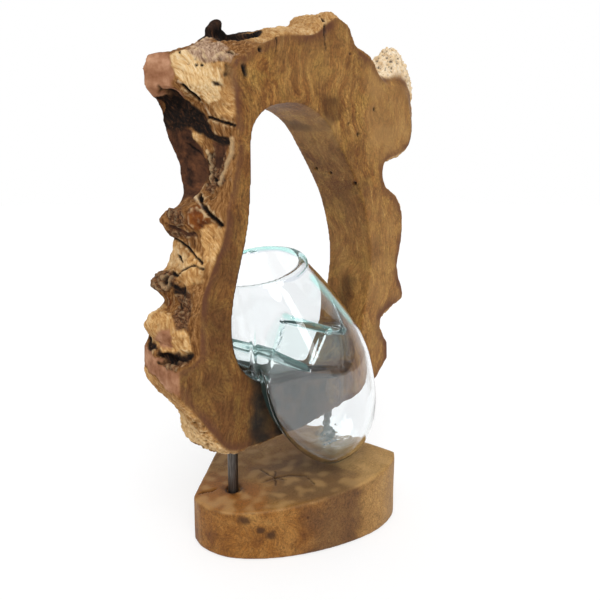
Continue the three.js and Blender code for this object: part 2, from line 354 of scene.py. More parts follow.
def laid_over(tree, clouds, coats):
    """Coats laid over one another, from the wood up. Each has its share and its colour, and some how they
    are laid, which else is a plain mix. The share is a number, the name of a mask kept on the mesh, or a
    cloud with its levels, and the colour is one hex colour, or a cloud with its tones."""
    result = "#000000"
    for share, colour, *how in coats:
        if isinstance(share, str):
            share = add(tree, "Attribute", attribute_name=share)["Fac"]
        elif isinstance(share, tuple):
            share = add(tree, "ValToRGB", {"Fac": clouds[share[0]]}, stops=share[1:])[0]
        if isinstance(colour, tuple):
            colour = add(tree, "ValToRGB", {"Fac": clouds[colour[0]]}, stops=colour[1:])[0]
        result = add(tree, "Mix", {0: share, 6: result, 7: colour}, data_type="RGBA",
                     blend_type=how[0] if how else "MIX")[2]
    return result


ROOT_FIGURE = [
    ("figure", "upward", 8, 5.0, 0.6, 0.6),
    ("cloud", "swayed", 40, 4.0, 0.55, 0.3),
    ("gold", "swayed", 26, 4.0, 0.6, 0.4),
    ("fine", "upward", 1.7, 4.0, 0.7, 0.3),
    ("grit", "still", 2.2, 3.0, 0.7, 0.0),
    ("streak", "upward", 3.6, 3.0, 0.6, 0.9),
    ("ring", "upward", 17, 4.0, 0.6, 1.3),
    ("fibre", "upward", 2.4, 4.0, 0.65, 0.4),
    ("slant", "slanting", 2.2, 4.0, 0.65, 0.2),
    ("clotted", "still", 4.5, 4.0, 0.65, 0.6),
    ("crusty", "still", 3.0, 5.0, 0.72, 0.8),
    ("broad", "still", 13, 4.0, 0.6, 0.0),
    ("smooth", "swayed", 9, 4.0, 0.6, 0.0),
]

# The oiled faces, then the live edge, then what sun, rot and heat did to it. Among these lie a painted
# highlight on the crests and painted shade in the folds.
ROOT_COATS = [
    (1.0, ("figure", (0.28, "#643a14"), (0.45, "#865829"), (0.60, "#9d7239"), (0.78, "#ba9052"))),
    (("cloud", (0.47, 0.0), (0.62, 0.7)), "#6d4522"),
    (("gold", (0.50, 0.0), (0.68, 0.6)), "#a57f3d"),
    (1.0, ("fine", (0.32, 0.26), (0.50, 0.51), (0.70, 0.68)), "OVERLAY"),
    (0.9, ("grit", (0.32, 0.30), (0.50, 0.50), (0.70, 0.66)), "OVERLAY"),
    (("streak", (0.60, 0.0), (0.70, 0.45)), "#5a351b"),
    (("ring", (0.41, 0.0), (0.44, 0.42), (0.47, 0.0)), "#5e3a18"),
    (("ring", (0.53, 0.0), (0.555, 0.40), (0.60, 0.0)), "#6a4220"),
    ("dusk", "#45280f"),
    ("bright", "#b48c55"),
    ("stain", "#5e3826"),
    ("live", ("fibre", (0.25, "#3b230f"), (0.43, "#6d441d"), (0.58, "#93673a"), (0.78, "#bd9360"))),
    ("sap", ("slant", (0.28, "#85582a"), (0.43, "#b18048"), (0.57, "#cfa267"), (0.76, "#e8c994"))),
    ("cream", ("slant", (0.28, "#b07f4a"), (0.42, "#d8ae75"), (0.56, "#ecce9c"), (0.76, "#f8e5c6"))),
    ("pale", ("clotted", (0.28, "#c9a57a"), (0.43, "#e3caa6"), (0.60, "#f3e6d0"), (0.8, "#fdf6ea"))),
    ("bark", ("slant", (0.28, "#4c3424"), (0.42, "#92735a"), (0.58, "#bb9c82"), (0.74, "#dcc5ac"))),
    ("rind", ("crusty", (0.32, "#1f120a"), (0.45, "#4b2e1a"), (0.58, "#7a5334"), (0.74, "#a87f57"))),
    ("sawn", ("broad", (0.3, "#7f4f33"), (0.50, "#a07152"), (0.70, "#c39474"))),
    ("umber", ("smooth", (0.30, "#24140b"), (0.46, "#452919"), (0.60, "#5b3822"), (0.76, "#7b4d2e"))),
    ("rust", ("smooth", (0.30, "#4a240b"), (0.48, "#733c12"), (0.66, "#8f5720"), (0.8, "#a8742f"))),
    ("crest", "#e8cb9b"),
    ("fold", "#1d1008"),
    ("char", ("slant", (0.36, "#0c0704"), (0.52, "#1d110a"), (0.64, "#3f2615"), (0.78, "#6b4529"))),
    ("ash", ("smooth", (0.32, "#14110d"), (0.48, "#26201a"), (0.62, "#3d3020"), (0.78, "#5f482b"))),
    ("crack", "#0e0704"),
]


def oiled_root_wood():
    """Root wood, sanded and oiled on its faces: golden brown with cloudy figure, fine upright grain and
    purple-brown where the sap stood. Its live edge is duller: cream sapwood, grey bark, sawn cuts and
    char, with a painted highlight on the crests and painted shade in the folds."""
    material, tree = new_material("oiled root wood")
    clouds = wood_figure(tree, 75, 0.06, ROOT_FIGURE)
    colour = laid_over(tree, clouds, ROOT_COATS)
    live = add(tree, "Attribute", attribute_name="live")["Fac"]
    dull = add(tree, "MapRange", {"Value": live, "To Min": 0.5, "To Max": 0.85})[0]
    bump = add(tree, "Bump", {"Strength": 0.3, "Distance": 0.0003, "Height": clouds["fine"]})[0]
    coarse = add(tree, "Math", {0: live, 1: clouds["crusty"]}, operation="MULTIPLY")[0]
    bump = add(tree, "Bump", {
        "Strength": 0.8, "Distance": 0.0012, "Height": coarse, "Normal": bump})[0]
    shader = add(tree, "BsdfPrincipled", {
        "Base Color": colour, "Roughness": dull, "Normal": bump, "IOR": 1.45,
        "Specular IOR Level": 0.2})[0]
    add(tree, "OutputMaterial", {"Surface": shader})
    return material


PLINTH_FIGURE = [
    ("wavy", "upward", 1.9, 4.0, 0.7, 0.8),
    ("blot", "swayed", 24, 4.0, 0.6, 0.4),
    ("fleck", "still", 1.7, 3.0, 0.7, 0.0),
    ("swirl", "swayed", 11, 5.0, 0.62, 1.8),
    ("broad", "swayed", 30, 5.0, 0.6, 0.6),
]

# The sawn side, then the top over it: figure, thin curled lines of burl, and its stained fields.
PLINTH_COATS = [
    (1.0, ("blot", (0.32, "#6d4018"), (0.48, "#8d5c26"), (0.60, "#9b6c35"), (0.76, "#a97e44"))),
    (0.9, ("wavy", (0.30, 0.30), (0.50, 0.50), (0.70, 0.62)), "OVERLAY"),
    ("top", ("broad", (0.30, "#7a4f20"), (0.47, "#8b602c"), (0.60, "#956d37"), (0.78, "#a27b43"))),
    ("grey", "#5d4631"),
    ("amber", "#8c5018"),
    ("gold", "#b9935a"),
    (("swirl", (0.43, 0.0), (0.475, 0.42), (0.52, 0.0)), "#4b3019"),
    (("swirl", (0.56, 0.0), (0.62, 0.35), (0.68, 0.0)), "#5c3b1c"),
    (0.9, ("fleck", (0.30, 0.30), (0.50, 0.50), (0.70, 0.64)), "OVERLAY"),
    ("worn", "#c19a63"),
    ("knot", "#3a2312"),
    ("stain", "#140c07"),
]


def oiled_plinth_wood():
    """The same root wood sawn into a plinth: a warm top with a greyed middle and curled burl lines, wavy
    upright grain on the sawn side, and edges rubbed pale by handling."""
    material, tree = new_material("oiled plinth wood")
    clouds = wood_figure(tree, 60, 0.05, PLINTH_FIGURE)
    colour = laid_over(tree, clouds, PLINTH_COATS)
    bump = add(tree, "Bump", {"Strength": 0.3, "Distance": 0.0004, "Height": clouds["wavy"]})[0]
    shader = add(tree, "BsdfPrincipled", {
        "Base Color": colour, "Roughness": 0.5, "Normal": bump, "IOR": 1.45,
        "Specular IOR Level": 0.2})[0]
    add(tree, "OutputMaterial", {"Surface": shader})
    return material


def dark_rod_steel():
    """Hot-rolled steel rod, wiped with oil: dark grey with a soft streak of light down its length."""
    material, tree = new_material("dark rod steel")
    place = add(tree, "TexCoord")["Object"]
    along = add(tree, "Mapping", {"Vector": place, "Scale": (1.0, 1.0, 0.08)})[0]
    scale = add(tree, "TexNoise", {"Vector": along, "Scale": 900, "Detail": 4.0})["Fac"]
    tone = add(tree, "ValToRGB", {"Fac": scale},
               stops=((0.3, "#3f3a36"), (0.55, "#5c5651"), (0.8, "#7d7771")))[0]
    rubbed = add(tree, "MapRange", {"Value": scale, "To Min": 0.45, "To Max": 0.3})[0]
    bump = add(tree, "Bump", {"Strength": 0.2, "Distance": 0.0001, "Height": scale})[0]
    shader = add(tree, "BsdfPrincipled", {
        "Base Color": tone, "Metallic": 0.85, "Roughness": rubbed, "Normal": bump})[0]
    add(tree, "OutputMaterial", {"Surface": shader})
    return material


def recycled_glass():
    """Free-blown glass from bottle cullet: clear in the wall, aqua where folds, rim and shoulder gather
    it thickly, and marked by the tools and the cold wood. A painted glow lights it a little: aqua where
    it is thick and pale grey on those marks."""
    material, tree = new_material("recycled glass")
    place = add(tree, "TexCoord")["Object"]
    thick = add(tree, "Attribute", attribute_name="thick")["Fac"]
    silvery = add(tree, "Attribute", attribute_name="silvery")["Fac"]
    tint = add(tree, "Mix", {0: thick, 6: "#fdfeff", 7: "#a0d6cf"}, data_type="RGBA")[2]
    wave = add(tree, "TexNoise", {"Vector": place, "Scale": 22, "Detail": 1.0})["Fac"]
    bump = add(tree, "Bump", {"Strength": 0.15, "Distance": 0.0015, "Height": wave})[0]
    # Painted glow: aqua where the glass is thick, pale grey on the marks of the tools and of the cold wood.
    light = add(tree, "Mix", {0: silvery, 6: "#a8d8d2", 7: "#cfcfd2"}, data_type="RGBA")[2]
    most = add(tree, "Math", {0: thick, 1: silvery}, operation="MAXIMUM")[0]
    glow = add(tree, "Math", {0: most, 1: 0.22}, operation="MULTIPLY")[0]
    shader = add(tree, "BsdfPrincipled", {
        "Base Color": tint, "Roughness": 0.0, "IOR": 1.5, "Transmission Weight": 1.0, "Normal": bump,
        "Emission Color": light, "Emission Strength": glow})[0]
    depth = add(tree, "VolumeAbsorption", {"Color": "#9ad6ce", "Density": 5.0})[0]
    add(tree, "OutputMaterial", {"Surface": shader, "Volume": depth})
    return material


# The root slab.

SLAB_CELL = 1.2
FRONT_FACE = -30

# The window's wall reaches this far into the wood from its outline on the front face.
WINDOW_WALL = 3.5

# What lies wholly left of this x belongs to the left live edge.
ALL_LEFT = -60

# The dark horn behind the crown's bowl, as two straight stretches.
HORN = [((-60, 26, 474), (-49, 27, 486)), ((-49, 27, 482), (-6, 28, 482))]

# Zones of the slab and of the glass, by axis, where each begins and where it is whole.
ZONES = {
    "left edge": [("x", -46, -56)],
    "right edge": [("x", 96, 116)],
    "knob": [("x", 108, 122), ("z", 432, 446)],
    "crown": [("z", 462, 474), ("x", -60, -40), ("x", 92, 84)],
    "crown's bowl": [("x", -82, -70)],
    "back of the slab": [("y", 8, 16)],
    "lower crags": [("z", 160, 140)],
    "bleached by sun": [("z", 330, 400)],
    "front face": [("y", -18, -27)],
    "left of the lobe": [("x", -34, -46)],
    "left front corner": [("y", -25, -28.5), ("x", -20, -50), ("z", 410, 340)],
    "sill": [("z", 188, 166), ("x", -74, -52), ("x", 66, 44)],
    "left end of the seat": [("y", -14, -26), ("z", 196, 180), ("x", -36, -44)],
    "above the sill": [("z", 160, 172)],
    "below the sill": [("z", 172, 160)],
}

# Bowls burnt and rotted out of the live edge: centre and half lengths in x, y, z.
BOWLS = [
    ((-47, 5, 481), (29, 18, 17)),
    ((-112, 14, 409), (17, 15, 17)),
    ((-99, -3, 393), (12, 13, 10)),
    ((-92, -12, 338), (8, 7, 4)),
    ((-147, 20, 207), (9, 8, 5)),
    ((-142, -10, 199), (10, 15, 4.5)),
    ((-111, -4, 254), (7, 6, 5)),
]

# What the left live edge shows, as outlines in y and z, with how far it stands out or back.
LEFT_EDGE = {
    "sawn": [
        ([(40, 458), (14, 453), (8, 434), (11, 419), (19, 426), (24, 419), (40, 417)], 0.0),
        ([(40, 208), (20, 204), (1, 197), (-10, 193), (-34, 194), (-34, 170), (-10, 175), (40, 196)], 0.0),
        ([(12, 214), (5, 223), (-5, 225), (-9, 219), (-5, 206), (6, 206)], 1.2),
    ],
    "sap": [
        ([(14, 453), (2, 461), (-14, 449), (-28, 441), (-30, 420), (-27, 403), (-14, 401), (-7, 413),
          (-2, 421), (9, 437)], 0.5),
        ([(40, 298), (16, 295), (-11, 288), (-24, 278), (-27, 266), (-14, 259), (0, 264), (40, 274)], 0.8),
        ([(40, 242), (24, 238), (-2, 237), (-11, 229), (-19, 224), (-23, 203), (2, 204), (19, 211),
          (40, 214)], 2.6),
        ([(40, 194), (-10, 173), (-34, 167), (-34, 104), (40, 104)], 0.0),
        ([(-10, 313), (-29, 309), (-31, 296), (-29, 273), (-20, 281), (-12, 295)], 1.0),
        ([(14, 390), (4, 391), (3, 384), (8, 377)], 2.0),
    ],
    "cream": [
        ([(13, 452), (3, 460), (-9, 450), (-20, 440), (-22, 428), (-17, 416), (-9, 414), (-3, 424),
          (8, 437)], 0.0),
        ([(40, 292), (16, 290), (-2, 283), (-8, 272), (14, 273), (40, 276)], 0.0),
        ([(40, 240), (26, 236), (12, 232), (16, 224), (40, 226)], 0.6),
        ([(40, 165), (10, 152), (-14, 134), (-34, 112), (-34, 104), (40, 104)], 0.0),
    ],
    "bark": [
        ([(24, 472), (12, 459), (-14, 446), (-26, 447), (-27, 452), (-8, 461)], 3.0),
    ],
    "rind": [
        ([(2, 370), (-8, 374), (-20, 372), (-22, 358), (-20, 345), (-10, 338), (0, 342), (4, 352)], 0.0),
        ([(22, 323), (9, 325), (1, 315), (8, 309), (18, 314)], 1.0),
        ([(40, 258), (34, 268), (12, 272), (0, 265), (2, 258), (16, 252)], 4.0),
        ([(2, 250), (-14, 255), (-22, 243), (-21, 226), (-13, 225), (-5, 237)], -0.6),
        ([(-9, 197), (-26, 200), (-30, 195), (-11, 192)], 2.4),
        ([(40, 309), (21, 308), (-6, 305), (-10, 301), (10, 299), (40, 298)], 0.6),
    ],
    "umber": [
        ([(40, 396), (22, 396), (12, 390), (8, 378), (3, 368), (2, 353), (7, 345), (5, 334),
          (40, 331)], -0.8),
        ([(-6, 382), (-22, 378), (-17, 369), (-15, 359), (-7, 359)], -1.6),
        ([(22, 313), (8, 309), (-6, 304), (-2, 300), (14, 305), (24, 309)], -1.0),
    ],
    "rust": [
        ([(1, 326), (-8, 329), (-18, 320), (-19, 312), (-8, 308), (-1, 313)], 3.4),
        ([(19, 244), (16, 252), (11, 249), (10, 242), (14, 237)], 1.4),
    ],
    "char": [
        ([(18, 427), (12, 419), (6, 411), (0, 406), (-4, 398), (-9, 390), (-24, 385), (-25, 377),
          (-14, 379), (-3, 384), (6, 390), (14, 392), (40, 392), (40, 419), (24, 419)], -1.0),
        ([(3, 260), (-11, 259), (-11, 251), (4, 250)], -3.0),
        ([(30, 210), (22, 213), (5, 203), (14, 200)], -3.0),
        ([(4, 204), (-23, 204), (-27, 199), (-9, 194), (1, 197)], -3.0),
        ([(-22, 445), (-28, 443), (-28, 433), (-23, 434)], -4.0),
        ([(-15, 433), (-20, 431), (-22, 427), (-16, 428)], -2.5),
    ],
}

# Thin ridges of the live edge, by their lines in 3-D: width and height. The rims and the ridges carry a
# painted highlight.
RIDGES = [
    ([(-82, 1, 374), (-80, -2, 362), (-82, -1, 348)], 1.8, 2.0),
    ([(-76, -25, 384), (-77, -25, 372), (-79, -22, 362), (-83, -18, 346)], 2.4, 1.6),
    ([(-56, 25, 478), (-49, 27, 484)], 5.0, 6.0),
]
RIMS = [
    ([(-91, 8, 334), (-95, -9, 328), (-96, -17, 319)], 1.5, 1.2),
    ([(-104, 6, 431), (-97, 1, 426), (-91, -3, 421)], 1.5, 1.2),
    ([(-104, 3, 424), (-98, -1, 418), (-93, -4, 413), (-87, -7, 404)], 1.4, 1.2),
    ([(-100, 6, 410), (-94, -4, 398), (-90, -8, 387)], 1.0, 1.2),
]

# Cracks and dark lines: the line, its width and its depth.
CRACKS = [
    ([(-90, 4, 336), (-92, -4, 332), (-95, -12, 327), (-95, -20, 318), (-91, -26, 312)], 1.6, 3.6),
    ([(-85, -5, 402), (-80, -16, 399), (-76, -28, 395)], 1.2, 2.2),
    ([(-73, -16, 458), (-70, -24, 453), (-65, -30, 444), (-63, -31, 434)], 1.2, 3.0),
    ([(-104, 26, 298), (-104, 12, 295), (-104, -4, 288), (-105, -19, 280)], 1.3, 2.4),
    ([(-110, 16, 285), (-108, 6, 281), (-106, -2, 274)], 1.2, 1.8),
    ([(-121, 8, 270), (-116, 0, 268), (-113, -6, 273), (-108, -12, 277), (-105, -22, 275)], 1.5, 2.4),
    ([(-104, 4, 428), (-97, 1, 422), (-92, -1, 417)], 1.9, 3.4),
    ([(50, -4, 506), (42, -18, 500), (35, -30, 491), (35, -31, 480), (38, -31, 466)], 1.5, 3.0),
    ([(-27, -30, 474), (-28, -31, 458), (-31, -31, 442)], 1.0, 0.5),
    ([(-2, -31, 478), (-2, -31, 466)], 0.9, 1.2),
    ([(-92, 22, 385), (-87, 10, 374), (-83, -1, 362)], 1.0, 1.4),
    ([(-84, -5, 352), (-81, -14, 348)], 1.1, 2.5),
    ([(-104, 16, 314), (-101, 0, 307), (-98, -8, 303)], 1.3, 2.4),
    ([(118, -31, 448), (122, -31, 452), (124, -31, 440)], 1.1, 2.0),
    ([(-118, 14, 462), (-98, 4, 451), (-84, -14, 443)], 0.8, 1.4),
    ([(-122, 0, 246), (-119, -10, 238), (-117, -18, 230)], 0.8, 1.6),
    ([(-128, 2, 204), (-132, 6, 212), (-128, -2, 224)], 0.6, 1.0),
]

# Worm holes and pin knots: centre, radius and depth.
PITS = [
    ((-47, -31, 459), 2.4, 4), ((72, -31, 468), 1.6, 3), ((111, -31, 418), 2.1, 4), ((82, -31, 408), 0.9, 2),
    ((71, -31, 402), 1.6, 3), ((86, -31, 392), 2.2, 4), ((76, 18, 358), 1.8, 3), ((79, 1, 354), 1.5, 2),
    ((87, -26, 344), 2.0, 3), ((-96, -6, 443), 1.6, 2), ((-94, -10, 443), 1.4, 2), ((-122, 9, 263), 3.0, 7),
    ((138, -26, 446), 1.6, 3), ((143, -24, 441), 1.4, 3), ((-90, -12, 338), 4.0, 3),
]

# Darker and brighter fields of the oiled front face, as outlines in x and z, with their strength and how
# softly they end.
DUSKY = [
    ([(-150, 300), (-70, 330), (-60, 240), (-40, 130), (-60, 95), (-150, 95)], 0.5, 9),
    ([(-92, 430), (-62, 430), (-48, 380), (-58, 300), (-95, 300)], 0.15, 10),
    ([(26, 427), (55, 429), (61, 410), (44, 395), (38, 405)], 0.8, 4),
    ([(60, 380), (92, 372), (104, 330), (84, 300), (70, 340)], 0.3, 8),
]
BRIGHT = [
    ([(-30, 500), (90, 500), (90, 430), (-20, 430)], 0.15, 14),
    ([(95, 470), (170, 445), (185, 380), (150, 330), (100, 380)], 0.5, 14),
    ([(100, 340), (150, 330), (180, 200), (120, 130), (105, 200)], 0.3, 14),
    ([(16, 414), (50, 400), (84, 330), (60, 330), (30, 380)], 0.4, 8),
]

# The glass lies against this part of the front face, and close to this line on the window's wall, and has
# charred them.
SCORCHED = [
    (-62, 172), (-57, 160), (-64, 136), (-66, 118), (-58, 92), (20, 96), (38, 112), (44, 146), (36, 172),
]
BESIDE_GLASS = [((104, 0, 236), (90, 0, 180))]


def spread(spots, fields):
    """The union of outlined fields, each with its strength and how softly it ends."""
    total = np.zeros(len(spots))
    for outline, strength, soft in fields:
        total = np.maximum(total, strength * ease(-off_outline(spots, outline), -soft, soft))
    return total


def zone(points, name):
    """1 in a zone and 0 outside it."""
    shares = [ease(points[:, "xyz".index(axis)], begins, whole) for axis, begins, whole in ZONES[name]]
    return np.prod(shares, axis=0)


def near_lines(points, lines):
    """How near points lie to some lines, and how far the wood is raised there. A line of the left edge
    counts a place's depth in x at a third, so that it stays whole where the wood is rough."""
    near = np.zeros(len(points))
    rise = np.zeros(len(points))
    for line, width, height in lines:
        weights = np.array((0.33 if max(line)[0] < ALL_LEFT else 1.0, 1.0, 1.0))
        ends = np.array(line) * weights
        here = ease(off_lines(points * weights, zip(ends[:-1], ends[1:])), width * 1.25, width * 0.4)
        near = np.maximum(near, here)
        rise += height * here
    return near, rise


def smoothed_slab(skin, edges):
    """The slab's points, smoothed, but hardly on the two large sawn cuts of the left edge, whose corners
    stay sharp."""
    cut = points_of(skin)
    points = relaxed(cut, edges, 4)
    sharp = np.zeros(len(points))
    on_left = points[:, 0] < ALL_LEFT
    for outline, _ in LEFT_EDGE["sawn"][:2]:
        inside = -off_outline(points[on_left, 1:], outline)
        sharp[on_left] = np.maximum(sharp[on_left], ease(inside, -4, -1))
    return points + sharp[:, None] * (relaxed(cut, edges, 1) - points)


def live_edge(points, normals, edges, window):
    """1 on the live edge, which turns away from the faces or lies behind them, and in the bowls, and 0 on
    the faces and on the window's wall."""
    calm = relaxed(normals, edges, 6)
    from_bowls = [np.linalg.norm((points - centre) / reach, axis=1) for centre, reach in BOWLS]
    turned = either(ease(1 - np.abs(calm[:, 1]), 0.12, 0.42), ease(np.abs(points[:, 1]), 27, 23),
                    ease(np.minimum.reduce(from_bowls), 1.12, 1.03))
    return relaxed(turned * ~window, edges, 3)


def left_edge(points, left):
    """What the left live edge shows, as masks by name, and how far the wood stands out there. The
    outlines wander by a few millimetres."""
    wander = shaken(points, 14, 2.6)[:, 1:]
    raised = np.zeros(len(points))
    masks = {}
    there = left > 0
    for name, outlines in LEFT_EDGE.items():
        masks[name] = np.zeros(len(points))
        for outline, stands_out in outlines:
            inside = -off_outline(wander[there], outline)
            masks[name][there] = np.maximum(masks[name][there], ease(inside, -1.2, 1.2) * left[there])
            raised[there] += stands_out * ease(inside, -1, 4)
    return masks, raised


def crust_and_fibres(points, live, smooth, broken, crown, edge):
    """How far the live edge's own relief stands out: burls, then fibres and crust. Sawn and rotted places
    have hardly any, and broken ones have deep crags."""
    x, y, z = points.T
    crags = 0.6 - 2.2 * np.abs(rough(points, 8, 3, 8.1))
    slanted = np.stack([x, (z - y) * 0.7, (y + z) * 0.14], 1)
    fibres = np.where(z > 400, rough(slanted, 4.2, 3, 2.2), rough(points * (1, 1, 0.25), 4.5, 3, 2.2))
    lumpy = 2.2 * rough(points, 26, 2, 3.3)
    crust = 0.4 + 0.5 * edge["bark"] + 1.2 * edge["rind"] + 0.4 * edge["char"] + 0.3 * edge["sap"]
    relief = live * (1 - 0.93 * smooth) * (lumpy + 0.9 * fibres + crags * crust)
    relief += broken * (1.3 * rough(points, 6, 3, 4.4) + 0.7 * crags)
    return relief + 1.5 * crown * rough(points * (0.6, 1, 1.6), 12, 3, 4.4)


def cracks_and_pits(points):
    """How near places lie to a crack or a pit, and how deep it is there."""
    jitter = shaken(points, 7, 0.7)
    near, depth = near_lines(jitter, CRACKS)
    for centre, radius, deep in PITS:
        here = ease(np.linalg.norm(jitter - centre, axis=1), radius * 1.35, radius * 0.7)
        near = np.maximum(near, here)
        depth += deep * here
    return near, depth


def stain_band(points, live, window):
    """A purple-brown band on the faces, up to 11 mm wide, inside the live edge."""
    seam = points[(live > 0.4) & (live < 0.6)]
    tree = KDTree(len(seam))
    for number, spot in enumerate(seam):
        tree.insert(Vector(spot), number)
    tree.balance()
    face = np.flatnonzero((live < 0.5) & ~window)
    to_edge = np.full(len(points), 99.0)
    to_edge[face] = [tree.find(Vector(spot))[2] for spot in shaken(points[face], 16, 3)]
    return ease(to_edge, 11, 2) * (0.5 + 0.4 * patches(points, 30, 2.0, -0.3, 0.4))


def burnt_by_glass(points, on_face, oiled, window, off_rim):
    """Char and ash that the hot glass left: on the front face and the sill where it lies, on the window's
    right wall beside it, and on the window's front corner at the left."""
    scorch = spread(on_face, [(SCORCHED, 0.95, 8)]) * zone(points, "front face") * oiled
    beside = ease(off_lines(points, BESIDE_GLASS), 16, 3) * window * oiled
    corner = ease(np.abs(off_rim), 2.4, 0.6) * zone(points, "left front corner")
    corner *= 0.5 + 0.5 * patches(points, 9, 7.0)
    sill = zone(points, "sill") * window * oiled
    char = either(0.6 * beside, 0.8 * scorch * zone(points, "left of the lobe"), 0.75 * corner)
    ash = either(scorch * (0.75 + 0.25 * patches(points, 16, 6.0)), 0.9 * sill)
    return char, ash


def root_slab(off_window):
    skin = even_skin(scooped(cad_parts["wood_frame"].data, BOWLS), SLAB_CELL)
    edges = edges_of(skin)
    points = smoothed_slab(skin, edges)
    set_points(skin, points)
    normals = normals_of(skin)

    # The window's wall is cut and sanded like the faces.
    off_rim = off_window(points[:, [0, 2]])
    window = off_rim < WINDOW_WALL
    live = live_edge(points, normals, edges, window)
    left, right, knob, crown = (zone(points, name) * live for name in (
        "left edge", "right edge", "knob", "crown"))
    edge, raised = left_edge(points, left)

    # The crown's bowl is charred, and the horn behind it is umber under its char.
    centre, reach = BOWLS[0]
    from_bowl = np.linalg.norm((shaken(points, 12, 2) - centre) / reach, axis=1)
    hollow = ease(from_bowl, 1.16, 1.02) * live * zone(points, "crown's bowl")
    horn = ease(off_lines(points, HORN), 13, 7) * live * zone(points, "back of the slab")
    edge["char"] = either(edge["char"] * (1 - edge["bark"] * 0.6), hollow, 0.85 * horn)
    edge["umber"] = either(edge["umber"], horn)

    smooth = np.clip(either(edge["sawn"], 0.85 * edge["umber"]), 0, 1)
    broken = 1.6 * knob + 1.3 * zone(points, "lower crags") * left
    relief = crust_and_fibres(points, live, smooth, broken, crown, edge)
    ridge, ridge_rise = near_lines(points, RIDGES)
    rims, rim_rise = near_lines(points, RIMS)
    relief += (raised + ridge_rise + rim_rise) * live
    crack, depth = cracks_and_pits(points)
    relief += 0.25 * swell(points, 38, 1.9) * (1 - live) - depth
    set_points(skin, relaxed(points + normals * relief[:, None], edges, 1, 0.3))

    # A painted highlight on the crests and painted shade in the folds.
    stands = relief - relaxed(relief, edges, 14)
    shows = live * (1 - smooth) * (1 - 0.7 * edge["char"]) * (1 - 0.6 * edge["rind"])
    crest = either(ease(stands, 0.2, 1.3) * shows * 0.6, ridge * live * 0.35) * (1 - horn)
    fold = ease(stands, -0.25, -1.5) * shows * 0.8

    # Pale wood outside the left edge: the knob, the crown's broken ridge and the bark along the right.
    cloudy = patches(points, 22, 5.0, -0.4, 0.4)
    edge["sap"] = either(edge["sap"] * (0.4 + 0.6 * cloudy), 0.7 * crown, right * (0.5 + 0.4 * cloudy))
    edge["cream"] *= 0.55 + 0.45 * zone(points, "bleached by sun")
    edge["cream"] = either(0.8 * edge["cream"], 0.85 * knob, 0.5 * right * cloudy, 0.35 * crown * cloudy)
    # The knob is pale wood, and the rims carry a painted highlight.
    pale = either(0.8 * knob, 0.4 * rims * live)

    # The oiled faces.
    oiled = 1 - live
    on_face = shaken(points, 20, 5)[:, [0, 2]]
    patchy = oiled * (0.6 + 0.4 * patches(points, 24, 3.0, -0.4, 0.4))
    char, ash = burnt_by_glass(points, on_face, oiled, window, off_rim)
    edge["char"] = either(edge["char"], char)
    keep_masks(skin, live=live, crack=crack, crest=crest, fold=fold, pale=pale, ash=ash,
               stain=stain_band(points, live, window) * oiled, dusk=spread(on_face, DUSKY) * patchy,
               bright=spread(on_face, BRIGHT) * patchy, **edge)
    finished_piece("root_slab", skin, oiled_root_wood(), "stand", "wood_frame")


# The plinth and the rods.

RODS = ("rod_left", "rod_right")
PLINTH_CELL = 1.5

# The top's height at the plinth's left and right ends.
TOP_LEFT = 46
TOP_RIGHT = 66

# Knots of the sawn front, by x and z, with their radius.
PLINTH_KNOTS = [((-83, 40), 4.0), ((-72, 30), 3.0), ((-65, 25), 4.0), ((-35, 38), 1.5)]

# Cracks of the top, most of them the arms of a star: the line, its width and its depth.
PLINTH_SPLITS = [
    ([(-97, 22, 47), (-84, 20, 48), (-74, 14, 49)], 1.2, 2.0),
    ([(-34, -14, 53), (-22, -18, 54), (-10, -25, 55), (0, -40, 56), (-6, -58, 55)], 1.2, 0.6),
    ([(-19, 6, 54), (-22, -18, 54), (-31, -29, 53)], 1.1, 0.6),
    ([(-12, -8, 55), (-22, -18, 54), (-16, -32, 54)], 1.0, 0.6),
]

# Fields of the plinth, as outlines in x and y, with their strength and how softly they end.
GREYED = [([(-50, -45), (-14, -110), (26, -110), (40, -10), (-20, 10)], 0.7, 14)]
AMBER = [([(-110, 40), (-110, -30), (-66, -60), (-44, -20), (-46, 40)], 0.8, 10)]
GOLDEN = [([(24, -110), (110, -110), (110, 20), (50, 20), (40, -30)], 0.75, 14)]


